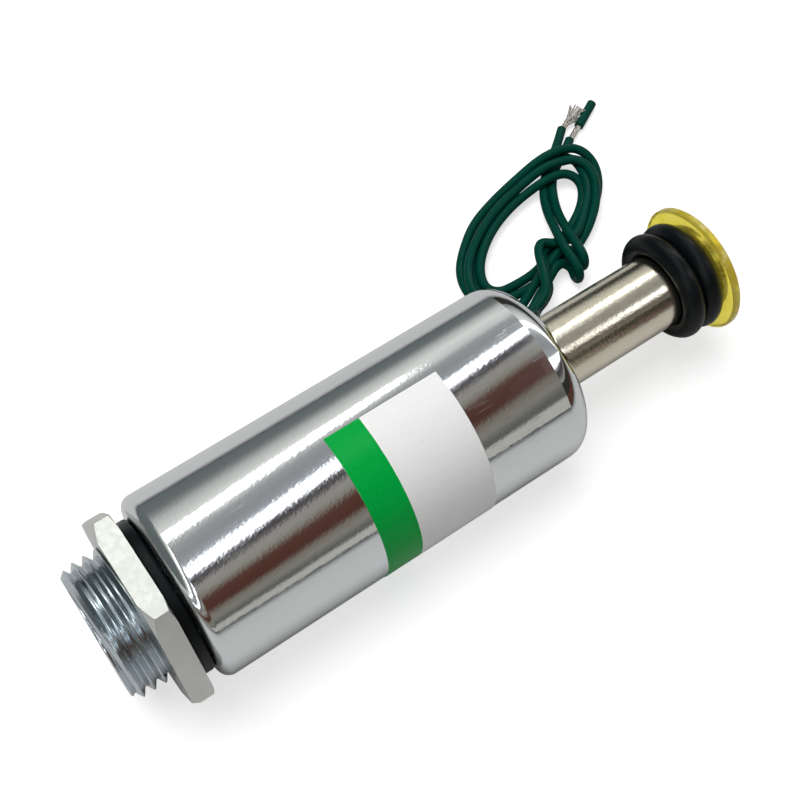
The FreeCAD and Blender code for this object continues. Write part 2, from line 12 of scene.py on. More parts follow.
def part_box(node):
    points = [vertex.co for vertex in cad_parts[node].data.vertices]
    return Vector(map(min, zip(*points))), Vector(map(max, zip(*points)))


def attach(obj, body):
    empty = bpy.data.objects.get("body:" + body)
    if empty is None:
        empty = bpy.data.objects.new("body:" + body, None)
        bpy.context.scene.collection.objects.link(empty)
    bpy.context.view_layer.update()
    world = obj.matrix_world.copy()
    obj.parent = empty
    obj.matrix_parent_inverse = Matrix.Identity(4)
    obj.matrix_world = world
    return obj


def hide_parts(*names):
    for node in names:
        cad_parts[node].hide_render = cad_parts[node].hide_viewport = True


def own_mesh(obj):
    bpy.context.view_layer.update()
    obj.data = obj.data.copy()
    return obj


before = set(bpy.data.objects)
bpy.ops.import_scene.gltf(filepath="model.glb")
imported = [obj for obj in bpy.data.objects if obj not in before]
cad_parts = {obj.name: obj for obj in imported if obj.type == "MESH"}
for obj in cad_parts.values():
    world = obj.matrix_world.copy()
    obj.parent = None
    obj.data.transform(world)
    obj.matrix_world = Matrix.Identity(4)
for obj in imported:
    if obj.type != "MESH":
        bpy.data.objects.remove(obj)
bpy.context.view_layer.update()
scene = bpy.context.scene
scene.view_settings.view_transform = "Standard"

MM = 0.001
SHOULDER = -37.445  # place along the axis, in mm, of the case's front end
AXIS_HEIGHT = 12.5
GREEN_BAND_END = SHOULDER + 28.3
LEAD_WIDTH = 1.4


# Camera

def look(position, right, forward, lens):
    """A camera at a place in mm, with the directions that it takes as right and forward."""
    data = bpy.data.cameras.new("camera")
    data.lens = lens
    data.sensor_width = 36.0
    data.clip_start = 0.01
    data.clip_end = 20.0
    camera = bpy.data.objects.new("camera", data)
    scene.collection.objects.link(camera)
    forward = Vector(forward).normalized()
    right = Vector(right)
    right = (right - forward * right.dot(forward)).normalized()
    up = right.cross(forward)
    turn = Matrix((right, up, -forward)).transposed().to_4x4()
    camera.matrix_world = Matrix.Translation(Vector(position) * MM) @ turn
    scene.camera = camera


look((-48.87, -64.90, 167.33), (0.82157, -0.57010, 0.0), (0.27700, 0.39919, -0.87402), 61.67)


# Materials

def new_material(name):
    material = bpy.data.materials.new(name)
    material.use_nodes = True
    tree = material.node_tree
    return material, tree, tree.nodes["Principled BSDF"]


def link(tree, source, target):
    tree.links.new(source, target)


def part_coordinates(tree, scale=(1, 1, 1), turn=(0, 0, 0)):
    source = tree.nodes.new("ShaderNodeTexCoord")
    mapping = tree.nodes.new("ShaderNodeMapping")
    mapping.inputs["Scale"].default_value = scale
    mapping.inputs["Rotation"].default_value = turn
    link(tree, source.outputs["Object"], mapping.inputs["Vector"])
    return mapping.outputs["Vector"]


def noise(tree, scale, stretch=(1, 1, 1), detail=3.0, roughness=0.55, turn=(0, 0, 0)):
    node = tree.nodes.new("ShaderNodeTexNoise")
    node.inputs["Scale"].default_value = scale
    node.inputs["Detail"].default_value = detail
    node.inputs["Roughness"].default_value = roughness
    link(tree, part_coordinates(tree, stretch, turn), node.inputs["Vector"])
    return node.outputs["Fac"]


def ramp(tree, value, stops):
    """Stops are (place, grey) or (place, (red, green, blue))."""
    node = tree.nodes.new("ShaderNodeValToRGB")
    elements = node.color_ramp.elements
    while len(elements) < len(stops):
        elements.new(0.5)
    for element, (place, colour) in zip(elements, stops):
        element.position = place
        element.color = (*colour, 1.0) if isinstance(colour, tuple) else (colour, colour, colour, 1.0)
    link(tree, value, node.inputs["Fac"])
    return node.outputs["Color"]


def calc(tree, kind, first, second=None, third=None, clamp=False):
    """A Math node. Each value is a number or a socket."""
    node = tree.nodes.new("ShaderNodeMath")
    node.operation = kind
    node.use_clamp = clamp
    for socket, value in zip(node.inputs, (first, second, third)):
        if value is None:
            continue
        if isinstance(value, (int, float)):
            socket.default_value = value
        else:
            link(tree, value, socket)
    return node.outputs[0]


def axis_places(tree):
    """The X, Y and Z sockets of the part's own coordinates."""
    place = tree.nodes.new("ShaderNodeSeparateXYZ")
    link(tree, part_coordinates(tree), place.inputs["Vector"])
    return place.outputs


def mix(tree, share, first, second):
    node = tree.nodes.new("ShaderNodeMix")
    node.data_type = "RGBA"
    share_socket, first_socket, second_socket = node.inputs[0], node.inputs[6], node.inputs[7]
    for socket, value in ((share_socket, share), (first_socket, first), (second_socket, second)):
        if isinstance(value, (int, float)):
            socket.default_value = value
        elif isinstance(value, tuple):
            socket.default_value = (*value, 1.0)
        else:
            link(tree, value, socket)
    return node.outputs[2]


def bump(tree, shader, *layers):
    """Layers are (height socket, depth in metres), laid over each other."""
    normal = None
    for height, distance in layers:
        node = tree.nodes.new("ShaderNodeBump")
        node.inputs["Strength"].default_value = 1.0
        node.inputs["Distance"].default_value = distance
        link(tree, height, node.inputs["Height"])
        if normal is not None:
            link(tree, normal, node.inputs["Normal"])
        normal = node.outputs["Normal"]
    link(tree, normal, shader.inputs["Normal"])


def metal(name, colour, dark, rough, grain, grain_stretch, grain_height, wave_height=2e-6):
    """A metal whose tone, gloss and surface all vary with a stretched grain."""
    material, tree, shader = new_material(name)
    shader.inputs["Metallic"].default_value = 1.0
    fine = noise(tree, grain, grain_stretch, 4.0)
    broad = noise(tree, 160.0, (1, 1, 1), 2.0)
    tone = calc(tree, "ADD", calc(tree, "MULTIPLY", fine, 0.5), calc(tree, "MULTIPLY", broad, 0.5))
    link(tree, ramp(tree, tone, [(0.35, dark), (0.6, colour)]), shader.inputs["Base Color"])
    link(tree, ramp(tree, fine, [(0.3, rough[0]), (0.7, rough[1])]), shader.inputs["Roughness"])
    bump(tree, shader, (broad, wave_height), (fine, grain_height))
    return material


def scratches(tree, turn, amount):
    """Bundles of fine parallel lines, in patches. A higher amount leaves fewer lines."""
    lines = noise(tree, 1.0, (120.0, 9000.0, 9000.0), 1.0, turn=turn)
    patches = noise(tree, 220.0, detail=1.0)
    line = ramp(tree, lines, [(amount, 0.0), (amount + 0.02, 1.0)])
    patch = ramp(tree, patches, [(0.5, 0.0), (0.62, 1.0)])
    return calc(tree, "MULTIPLY", line, patch)


def chrome():
    """Chrome plating with a fine grain, which fades out ahead of the case's rear shoulder."""
    material, tree, shader = new_material("chrome_case_look")
    shader.inputs["Metallic"].default_value = 1.0
    fade_end, fade_length = 15.5 * MM, 6 * MM
    ahead_of_shoulder = calc(tree, "MULTIPLY_ADD", axis_places(tree)["X"], -1 / fade_length, fade_end / fade_length,
                             clamp=True)
    grain = calc(tree, "MULTIPLY", noise(tree, 3100.0, (0.7, 1, 1), 2.5), ahead_of_shoulder)
    swell = noise(tree, 260.0, (0.35, 1, 1), 2.0)
    marks = calc(tree, "MAXIMUM", scratches(tree, (0.3, 0.9, 0.5), 0.71), scratches(tree, (1.1, -0.6, 1.3), 0.72))
    link(tree, mix(tree, marks, (0.80, 0.815, 0.825), (0.60, 0.61, 0.62)), shader.inputs["Base Color"])
    cloud = ramp(tree, swell, [(0.35, 0.045), (0.7, 0.085)])
    link(tree, calc(tree, "ADD", cloud, calc(tree, "MULTIPLY", marks, 0.2)), shader.inputs["Roughness"])
    bump(tree, shader, (swell, 4e-6), (grain, 7e-6), (marks, -5e-7))
    return material


def plastic(name, colour, dark, rough, grain=900.0, height=2e-6, shine=0.5):
    """A plastic or rubber whose tone, gloss and surface vary a little."""
    material, tree, shader = new_material(name)
    fine = noise(tree, grain, detail=3.0)
    broad = noise(tree, 140.0, detail=2.0)
    link(tree, ramp(tree, broad, [(0.3, dark), (0.7, colour)]), shader.inputs["Base Color"])
    link(tree, ramp(tree, fine, [(0.3, rough[0]), (0.7, rough[1])]), shader.inputs["Roughness"])
    shader.inputs["Specular IOR Level"].default_value = shine
    bump(tree, shader, (broad, height * 4), (fine, height))
    return material


def vinyl():
    """The label's film: white, with a green band at its front end. The ink's edge wanders slightly."""
    material, tree, shader = new_material("vinyl_label_look")
    along = calc(tree, "ADD", axis_places(tree)["X"], calc(tree, "MULTIPLY", noise(tree, 1500.0), 0.04 * MM))
    band = calc(tree, "LESS_THAN", along, GREEN_BAND_END * MM)
    fibre = noise(tree, 2400.0)
    white = ramp(tree, fibre, [(0.3, (0.91, 0.91, 0.90)), (0.7, (0.95, 0.95, 0.94))])
    green = ramp(tree, fibre, [(0.3, (0.0, 0.37, 0.050)), (0.7, (0.001, 0.41, 0.062))])
    link(tree, mix(tree, band, white, green), shader.inputs["Base Color"])
    link(tree, ramp(tree, fibre, [(0.3, 0.17), (0.7, 0.23)]), shader.inputs["Roughness"])
    shader.inputs["Specular IOR Level"].default_value = 0.12
    bump(tree, shader, (noise(tree, 300.0), 6e-6), (fibre, 1e-6))
    return material


def amber():
    """Clear yellow polyurethane with faint streaks."""
    material, tree, shader = new_material("amber_urethane_look")
    streak = noise(tree, 700.0, (0.4, 1, 1.6), 2.0)
    link(tree, ramp(tree, streak, [(0.3, (0.95, 0.78, 0.07)), (0.7, (1.0, 0.92, 0.20))]), shader.inputs["Base Color"])
    shader.inputs["Transmission Weight"].default_value = 0.75
    shader.inputs["IOR"].default_value = 1.5
    link(tree, ramp(tree, streak, [(0.3, 0.07), (0.7, 0.16)]), shader.inputs["Roughness"])
    bump(tree, shader, (noise(tree, 200.0), 2.5e-5), (streak, 2e-6))
    return material


def turned_lines(tree, spacing):
    """Rings round the part's axis, as a lathe leaves them on end faces and on turned sides."""
    place = axis_places(tree)
    side = calc(tree, "POWER", place["Y"], 2.0)
    rise = calc(tree, "POWER", calc(tree, "SUBTRACT", place["Z"], AXIS_HEIGHT * MM), 2.0)
    radius = calc(tree, "SQRT", calc(tree, "ADD", side, rise))
    reach = calc(tree, "ADD", radius, calc(tree, "MULTIPLY", place["X"], 0.9))
    return calc(tree, "SINE", calc(tree, "MULTIPLY", reach, 2 * math.pi / spacing))


def zinc(name, colour, dark, rough):
    """Zinc plating over a turned surface."""
    material, tree, shader = new_material(name)
    shader.inputs["Metallic"].default_value = 1.0
    fine = noise(tree, 1500.0, detail=3.0)
    broad = noise(tree, 260.0, detail=2.0)
    link(tree, ramp(tree, broad, [(0.35, dark), (0.65, colour)]), shader.inputs["Base Color"])
    link(tree, ramp(tree, fine, [(0.3, rough[0]), (0.7, rough[1])]), shader.inputs["Roughness"])
    bump(tree, shader, (broad, 1.5e-6), (turned_lines(tree, 0.00022), 4e-7), (fine, 6e-7))
    return material


def wound():
    """Turns of enamelled wire, 0.32 mm apart, with painted shade in the grooves between them and painted light on
    their crests.
    """
    material, tree, shader = new_material("copper_winding_look")
    shader.inputs["Metallic"].default_value = 1.0
    turns = calc(tree, "SINE", calc(tree, "MULTIPLY", axis_places(tree)["X"], 2 * math.pi / (0.32 * MM)))
    # Painted shade and light: the grooves between turns are coloured dark and the crests light.
    shade = calc(tree, "MULTIPLY_ADD", turns, 0.5, 0.5)
    link(tree, ramp(tree, shade, [(0.0, (0.30, 0.09, 0.03)), (1.0, (0.72, 0.28, 0.12))]), shader.inputs["Base Color"])
    link(tree, ramp(tree, noise(tree, 900.0), [(0.3, 0.22), (0.7, 0.34)]), shader.inputs["Roughness"])
    bump(tree, shader, (turns, 4e-5))
    return material


LOOKS = {
    "chrome_case": chrome(),
    "vinyl_label": vinyl(),
    "amber_urethane": amber(),
    "copper_winding": wound(),
    "zinc_nut": zinc("zinc_nut_look", (0.75, 0.76, 0.73), (0.70, 0.71, 0.68), (0.28, 0.36)),
    "zinc_pole": zinc("zinc_pole_look", (0.62, 0.67, 0.70), (0.50, 0.55, 0.59), (0.12, 0.20)),
    "nickel_plunger": metal("nickel_plunger_look", (0.80, 0.74, 0.61), (0.74, 0.68, 0.55), (0.10, 0.20),
                            3400.0, (1, 1, 1), 2e-5, 3e-6),
    "steel_rod": metal("steel_rod_look", (0.62, 0.62, 0.61), (0.50, 0.50, 0.49), (0.18, 0.30),
                       2200.0, (2.5, 1, 1), 2e-6),
    "spring_steel": metal("spring_steel_look", (0.55, 0.55, 0.56), (0.44, 0.44, 0.45), (0.24, 0.32),
                          2600.0, (1, 1, 1), 4e-7, 6e-7),
    "flux_steel": metal("flux_steel_look", (0.50, 0.50, 0.49), (0.38, 0.38, 0.37), (0.28, 0.42),
                        1800.0, (1, 1, 1), 2e-6),
    # Partly the brass's own tone and partly painted shade: it is darkened so the tube in the case's hole reads as the
    # shaded gap beside the plunger.
    "brass_tube": metal("brass_tube_and_gap_shade_look", (0.50, 0.40, 0.24), (0.40, 0.31, 0.18), (0.18, 0.30),
                        2200.0, (0.3, 1, 1), 2e-6),
    "tinned_copper": metal("tinned_copper_look", (0.74, 0.71, 0.66), (0.45, 0.40, 0.34), (0.22, 0.36),
                           3000.0, (1, 1, 1), 1e-6),
    "black_rubber": plastic("black_rubber_look", (0.004, 0.0056, 0.0068), (0.0025, 0.0037, 0.0046), (0.28, 0.40),
                            shine=0.18),
    "green_pvc": plastic("green_pvc_look", (0.0002, 0.054, 0.037), (0.0001, 0.046, 0.031), (0.24, 0.30),
                         500.0, 2e-7, 0.07),
    "coil_tape": plastic("coil_tape_look", (0.62, 0.50, 0.10), (0.50, 0.38, 0.07), (0.28, 0.40)),
    "bobbin_nylon": plastic("bobbin_nylon_look", (0.70, 0.69, 0.64), (0.62, 0.61, 0.56), (0.35, 0.50)),
}

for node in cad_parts.values():
    for node_slot in node.material_slots:
        node_slot.material = LOOKS[node_slot.material.name.split(".")[0]]


# Pieces. The points of curves and meshes are in mm, in the part's frame.

def add_piece(name, data, look, body, *replaced):
    piece = bpy.data.objects.new(name, data)
    scene.collection.objects.link(piece)
    data.materials.clear()
    data.materials.append(LOOKS[look])
    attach(piece, body)
    if replaced:
        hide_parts(*replaced)
    return piece


def mesh_of(name, vertices, faces, sharp=35.0):
    mesh = bpy.data.meshes.new(name)
    mesh.from_pydata([Vector(v) * MM for v in vertices], [], faces)
    form = bmesh.new()
    form.from_mesh(mesh)
    bmesh.ops.remove_doubles(form, verts=form.verts, dist=1e-8)
    bmesh.ops.dissolve_degenerate(form, edges=form.edges, dist=1e-9)
    bmesh.ops.recalc_face_normals(form, faces=form.faces)
    form.to_mesh(mesh)
    form.free()
    mesh.shade_smooth()
    mesh.set_sharp_from_angle(angle=math.radians(sharp))
    return mesh


def axes_along(start, end):
    """The unit vector from start to end, and two more across it."""
    axis = (end - start).normalized()
    side = axis.cross(Vector((0, 0, 1))).normalized()
    return axis, side, side.cross(axis)


def ring_faces(rows, steps, base=0):
    """Faces between rows of vertices, each row a closed ring of steps vertices."""
    faces = []
    for row in range(rows - 1):
        here, there = base + row * steps, base + (row + 1) * steps
        for step in range(steps):
            after = (step + 1) % steps
            faces.append((here + step, here + after, there + after, there + step))
    return faces


def line_curve(name, runs, width):
    """One curve object with a NURBS spline for each list of points in millimetres."""
    curve = bpy.data.curves.new(name, "CURVE")
    curve.dimensions = "3D"
    curve.bevel_depth = width / 2 * MM
    curve.bevel_resolution = 5
    curve.use_fill_caps = True
    for points in runs:
        spline = curve.splines.new("NURBS")
        spline.points.add(len(points) - 1)
        for target, point in zip(spline.points, points):
            target.co = (*(c * MM for c in point), 1.0)
        spline.order_u = 3
        spline.use_endpoint_u = True
        spline.resolution_u = 10
    return curve


# Leads. Both leave the grommet, drop behind the plunger and lie in two long loose turns.

LEAD_FROM_LOWER_HOLE = [
    (16.8, 9.2, 8.90), (20.4, 9.2, 8.80), (22.6, 8.7, 7.00), (24.4, 8.0, 4.90), (27.0, 10.8, 3.40),
    (29.1, 11.4, 3.40), (31.0, 12.6, 3.40), (32.0, 14.6, 3.40), (33.2, 16.8, 3.30), (34.4, 18.6, 2.50),
    (35.8, 19.4, 1.90), (37.2, 19.5, 1.80), (38.4, 19.4, 1.90), (40.1, 19.9, 1.80), (42.0, 20.8, 1.70),
    (45.0, 22.7, 1.10), (47.5, 25.2, 1.00), (47.7, 27.1, 1.80), (46.4, 28.7, 2.30), (43.9, 29.2, 2.30),
    (40.6, 29.3, 1.70), (35.9, 28.5, 1.60), (31.3, 26.7, 1.70), (27.5, 24.1, 1.90), (25.1, 21.4, 1.90),
    (24.3, 18.9, 1.70), (25.8, 17.5, 1.00), (28.4, 17.3, 0.80), (31.2, 17.3, 0.80), (33.5, 17.7, 0.80),
    (35.9, 18.6, 0.80), (38.6, 19.2, 0.80), (42.0, 19.7, 0.80), (46.6, 21.6, 0.80), (50.1, 24.5, 0.80),
    (51.6, 27.7, 2.00), (50.6, 30.5, 3.40), (48.0, 31.8, 3.70), (44.7, 32.5, 3.00), (39.9, 32.1, 1.80),
    (34.9, 31.3, 0.90), (30.0, 29.6, 0.80), (26.1, 26.7, 0.80), (23.4, 24.0, 0.80), (22.1, 20.8, 0.80),
    (22.3, 17.1, 0.80), (24.2, 14.4, 0.90), (26.3, 13.3, 1.60), (28.5, 14.2, 2.00), (30.6, 15.3, 2.00),
    (32.6, 16.2, 2.00), (34.5, 16.9, 2.10), (37.1, 17.7, 2.38), (38.3, 17.2, 2.12), (38.8, 16.0, 1.88),
    (38.2, 14.3, 1.55), (38.0, 13.4, 2.49), (38.0, 13.4, 3.81), (38.2, 14.3, 4.75), (38.9, 18.1, 4.40),
    (40.4, 22.3, 2.80), (42.5, 26.1, 1.20), (44.6, 29.3, 0.75), (47.4, 31.5, 0.75), (50.9, 33.4, 0.75),
    (52.0, 34.2, 0.75),
]
LEAD_FROM_UPPER_HOLE = [
    (16.8, 9.2, 10.50), (20.8, 9.2, 10.30), (23.4, 9.2, 8.60), (25.4, 8.9, 6.60), (25.9, 10.3, 5.00),
    (28.2, 11.0, 4.70), (30.1, 12.2, 4.60), (31.2, 14.2, 4.60), (32.3, 16.4, 4.50), (33.4, 18.5, 4.10),
    (34.7, 19.7, 3.60), (35.8, 19.6, 3.10), (36.5, 19.1, 2.90), (37.8, 18.5, 2.90), (39.4, 18.2, 2.80),
    (41.7, 19.1, 2.40), (44.6, 21.4, 2.30), (47.3, 23.9, 2.30), (49.0, 27.2, 2.20), (49.3, 30.4, 2.20),
    (47.0, 31.7, 2.20), (43.4, 31.9, 1.60), (39.0, 31.0, 0.80), (34.1, 29.4, 0.80), (29.5, 26.9, 0.80),
    (26.0, 24.1, 0.80), (24.0, 21.4, 0.80), (23.4, 18.4, 0.80), (24.9, 16.5, 0.80), (27.5, 15.8, 0.80),
    (30.7, 15.7, 0.80), (33.5, 16.1, 0.80), (36.3, 16.5, 0.80), (38.7, 17.0, 0.90), (41.4, 17.9, 1.20),
    (44.1, 19.3, 2.00), (47.4, 22.0, 2.30), (49.9, 25.9, 2.90), (49.1, 28.9, 3.60), (46.6, 30.1, 3.50),
    (43.7, 31.0, 2.80), (39.5, 30.5, 2.20), (34.6, 29.4, 2.20), (29.7, 27.3, 2.20), (26.1, 24.9, 2.10),
    (23.7, 22.5, 2.10), (22.3, 19.7, 2.20), (22.1, 16.7, 2.30), (22.7, 13.6, 1.50), (25.2, 11.9, 1.00),
    (27.6, 12.1, 1.40), (29.3, 13.0, 2.00), (31.5, 14.1, 2.10), (35.3, 16.1, 2.28), (36.4, 15.7, 1.85),
    (37.0, 14.7, 1.42), (36.5, 13.2, 1.05), (36.3, 12.3, 1.96), (36.3, 12.3, 3.24), (36.5, 13.2, 4.15),
    (36.8, 16.5, 4.30), (37.8, 19.8, 3.90), (39.9, 24.5, 2.00), (42.1, 28.1, 0.90), (44.3, 30.6, 0.75),
    (47.2, 32.7, 0.75), (49.9, 34.6, 0.75), (52.3, 36.6, 0.75),
]

lower_lead = add_piece("lead_from_lower_hole",
                       line_curve("lead_from_lower_hole", [LEAD_FROM_LOWER_HOLE], LEAD_WIDTH),
                       "green_pvc", "housing", "lead_lower", "lead_hank")
upper_lead = add_piece("lead_from_upper_hole",
                       line_curve("lead_from_upper_hole", [LEAD_FROM_UPPER_HOLE], LEAD_WIDTH),
                       "green_pvc", "housing", "lead_upper", "lead_upper_tail")


# Bare strands. The upper lead's fan out, and the lower lead's stay twisted up to the slug.

FRAY_ROOT = Vector((52.2, 36.3, 0.75))
FRAY_TIPS = [(55.85, 39.0, 2.0), (56.1, 38.9, 1.5), (56.5, 38.5, 1.8), (56.9, 38.3, 1.4), (57.0, 37.9, 1.7),
             (57.2, 37.6, 1.2), (57.2, 37.3, 1.4), (57.0, 37.0, 1.0), (56.8, 36.7, 1.2), (56.5, 36.3, 0.8),
             (56.9, 38.0, 0.9), (57.3, 37.9, 1.0), (56.6, 38.7, 1.2)]


def frayed_strands(bundle_radius=0.44, golden_turn=2.4, twist=0.7):
    """Strands that leave the insulation as a round bundle, twist a little and spread to the tips."""
    chance = random.Random(7)
    axis, side, rise = axes_along(FRAY_ROOT, Vector((54.3, 37.6, 1.0)))
    runs = []
    tips = FRAY_TIPS * 2
    for index, tip in enumerate(tips):
        turn = index * golden_turn
        out = bundle_radius * math.sqrt((index + 1) / len(tips))
        start = FRAY_ROOT - axis * 0.5 + side * out * math.cos(turn) + rise * out * math.sin(turn)
        turn += twist
        neck = FRAY_ROOT + axis * 1.1 + side * out * math.cos(turn) + rise * out * math.sin(turn)
        tip = Vector(tip) + Vector([chance.uniform(-0.28, 0.12) for _ in range(3)])
        tip.z = max(tip.z, 0.3)
        bend = neck.lerp(tip, 0.55) + Vector([chance.uniform(-0.14, 0.14) for _ in range(3)])
        runs.append([start, start.lerp(neck, 0.5), neck, bend, tip])
    return runs


add_piece("frayed_strands", line_curve("frayed_strands", frayed_strands(), 0.19), "tinned_copper", "housing",
          "strands_upper")


def twisted_strands(start, end, count, radius, turns, steps=12):
    """Strands that wind round each other along a straight line."""
    start, end = Vector(start), Vector(end)
    _, side, rise = axes_along(start, end)
    runs = []
    for index in range(count):
        points = []
        for step in range(steps + 1):
            share = step / steps
            angle = 2 * math.pi * (index / count + turns * share)
            centre = start.lerp(end, share)
            points.append(centre + (side * math.cos(angle) + rise * math.sin(angle)) * radius)
        runs.append(points)
    return runs


add_piece("twisted_strands",
          line_curve("twisted_strands", twisted_strands((51.6, 33.9, 0.75), (55.3, 35.75, 0.75), 9, 0.36, 0.8), 0.2),
          "tinned_copper", "housing", "strands_lower")


def cut_tube(start, end, outer, inner, steps=28):
    """A short length of pulled insulation with a hollow, slightly rounded cut end."""
    start, end = Vector(start), Vector(end)
    axis, side, rise = axes_along(start, end)
    length = (end - start).length
    cut = 0.08
    profile = [(0.0, inner), (0.0, outer - cut), (cut, outer), (length * 0.3, outer * 1.02),
               (length * 0.62, outer * 0.99), (length - 0.07, outer), (length, outer - cut), (length, inner),
               (length - 0.5, inner * 0.9), (length - 0.5, 0.0)]
    vertices = []
    for along, radius in profile:
        for step in range(steps):
            angle = 2 * math.pi * step / steps
            vertices.append(start + axis * along + (side * math.cos(angle) + rise * math.sin(angle)) * radius)
    return mesh_of("pulled_insulation", vertices, ring_faces(len(profile), steps))


add_piece("pulled_insulation", cut_tube((54.75, 35.45, 0.78), (59.45, 38.0, 0.78), 0.72, 0.45), "green_pvc",
          "housing", "insulation_slug")


# Front pole with its thread, cut as a true helix

THREAD_PITCH = 1.5
NOSE_END = SHOULDER - 10.1
THREAD_END = SHOULDER - 0.7
CREST = 9.0
ROOT = 8.05
NECK = ROOT - 0.1  # radius of the plain neck behind the thread
CHAMFER = 0.95  # its depth at the nose's end, which runs out over 1 mm
RUNOUT_END = THREAD_END + 0.35
RUNOUT_SLOPE = 2.2
# One turn's form, as shares of the pitch and of the thread's depth
THREAD_FORM = [(0.0, 0.0), (0.04, 0.0), (0.09, 0.0), (0.11, 0.03), (0.20, 0.26), (0.30, 0.51), (0.40, 0.76),
               (0.48, 0.97), (0.51, 1.0), (0.58, 1.0), (0.61, 0.97), (0.70, 0.76), (0.79, 0.51), (0.89, 0.26),
               (0.98, 0.03)]
THREAD_PHASE = 0.25
# The rest of the pole: places behind the shoulder and radii, from the rod's bore in the nose to the cone that
# the plunger seats in, and back outside to the flange in the case's mouth
POLE_BEHIND_SHOULDER = [(-5.1, 3.8), (-5.1, 1.6), (4.0, 1.6), (4.0, 2.5), (9.0, 2.5), (9.0, 3.2), (19.575, 3.2),
                        (22.0, 4.6), (22.0, 5.2), (4.6, 5.2), (4.6, 11.25), (1.05, 11.25), (1.05, 9.75),
                        (0.0, 9.75), (0.0, ROOT - 0.12)]


def thread_depth(share):
    """The groove's depth, 0 to 1, at a share of the pitch."""
    share %= 1.0
    form = THREAD_FORM + [(1.0, THREAD_FORM[0][1])]
    for (start, low), (end, high) in zip(form, form[1:]):
        if start <= share <= end:
            return low + (high - low) * (share - start) / (end - start)
    return 0.0


def nose_radius(x, angle):
    """The nose's radius: thread, chamfer at the end and run-out before the neck, whichever is smallest."""
    if x >= RUNOUT_END:
        return NECK
    cut = thread_depth((x - NOSE_END) / THREAD_PITCH - angle / (2 * math.pi) - THREAD_PHASE)
    radius = CREST - (CREST - ROOT) * cut
    chamfer = CREST - CHAMFER + (x - NOSE_END) * CHAMFER
    return min(radius, chamfer, NECK + (RUNOUT_END - x) * RUNOUT_SLOPE)


def pole_mesh(steps=144):
    """Columns of vertices that climb by a pitch in one turn, so that the edges follow the helix."""
    vertices, faces = [], []

    def add_vertex(x, radius, angle):
        vertices.append((x, radius * math.cos(angle), AXIS_HEIGHT + radius * math.sin(angle)))

    stations = []
    pitches = int((SHOULDER - NOSE_END) / THREAD_PITCH) + 3
    for turn in range(-2, pitches):
        stations += [NOSE_END + (turn + THREAD_PHASE + share) * THREAD_PITCH for share, _ in THREAD_FORM]
    rows = len(stations)
    for step in range(steps):
        angle = 2 * math.pi * step / steps
        for station in stations:
            x = min(max(station + THREAD_PITCH * step / steps, NOSE_END), SHOULDER)
            add_vertex(x, nose_radius(x, angle), angle)
    form_length = len(THREAD_FORM)
    for step in range(steps):
        for row in range(rows - 1):
            if step + 1 < steps:
                after = (step + 1) * rows + row
            elif row + form_length + 1 < rows:
                after = row + form_length  # the last column meets the first one turn on
            else:
                continue
            faces.append((step * rows + row, step * rows + row + 1, after + 1, after))
    profile = [(NOSE_END, 8.0), (NOSE_END, 4.1), (NOSE_END + 0.3, 3.8)]
    profile += [(SHOULDER + behind, radius) for behind, radius in POLE_BEHIND_SHOULDER]
    faces += ring_faces(len(profile), steps, len(vertices))
    for x, radius in profile:
        for step in range(steps):
            add_vertex(x, radius, 2 * math.pi * step / steps)
    return mesh_of("threaded_pole", vertices, faces, 28.0)


add_piece("threaded_pole", pole_mesh(), "zinc_pole", "housing", "front_pole")


# Return spring, wound at the CAD spring's length. The real one shortens as the plunger slides in.

SPRING_WIRE = 0.4
SPRING_MEAN = 4.6  # mean diameter of the coil
SPRING_TURNS = 10


def spring_mesh(front, rear, steps=24, ring=8):
    """A wire of ring sides, wound in steps for each turn."""
    vertices = []
    rows = SPRING_TURNS * steps + 1
    for row in range(rows):
        share = row / (rows - 1)
        turn = 2 * math.pi * SPRING_TURNS * share
        x = front + SPRING_WIRE / 2 + (rear - front - SPRING_WIRE) * share
        for step in range(ring):
            angle = 2 * math.pi * step / ring
            radius = (SPRING_MEAN + SPRING_WIRE * math.cos(angle)) / 2
            vertices.append((x + SPRING_WIRE / 2 * math.sin(angle), radius * math.cos(turn),
                             AXIS_HEIGHT + radius * math.sin(turn)))
    ends = [tuple(range(ring)), tuple(range((rows - 1) * ring, rows * ring))]
    return mesh_of("coil_spring", vertices, ring_faces(rows, ring) + ends)


spring_low, spring_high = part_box("return_spring")
spring_front, spring_rear = spring_low[0] / MM, spring_high[0] / MM
coil_spring = add_piece("coil_spring", spring_mesh(spring_front, spring_rear), "spring_steel", "housing",
                        "return_spring")
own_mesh(coil_spring)


# Floor and light

FLOOR_HALF = 3.0
FLOOR_DEPTH = 2e-5  # just below the part
HALF_ROUND = 180.0

# The room that the metal reflects. Degrees go up from the horizon behind the part, over the top and down to
# the horizon before it. Bands are colours, and lamps are shares of LAMP_STRENGTH added to them.
ROOM_BANDS = [
    (0, (0.13, 0.15, 0.15)), (16, (0.16, 0.18, 0.18)), (22, (0.24, 0.26, 0.25)), (31, (0.50, 0.51, 0.49)),
    (46, (0.78, 0.79, 0.75)), (60, (0.64, 0.65, 0.64)), (68, (0.36, 0.37, 0.37)), (80, (0.30, 0.31, 0.32)),
    (92, (0.36, 0.38, 0.40)), (105, (0.45, 0.46, 0.48)), (109, (0.06, 0.05, 0.06)), (114, (0.10, 0.09, 0.09)),
    (119, (0.32, 0.31, 0.29)), (128, (0.28, 0.27, 0.23)), (136, (0.10, 0.045, 0.034)), (150, (0.085, 0.034, 0.026)),
    (155, (0.20, 0.18, 0.15)), (162, (0.24, 0.23, 0.20)), (168, (0.13, 0.13, 0.12)), (171, (0.12, 0.12, 0.11)),
    (173, (0.46, 0.46, 0.42)),
]
ROOM_LAMPS = [(48, 0.0), (51, 1.0), (57, 1.0), (60, 0.0), (92, 0.0), (95, 1.0), (103, 1.0), (106, 0.0)]
LAMP_STRENGTH = 5.0


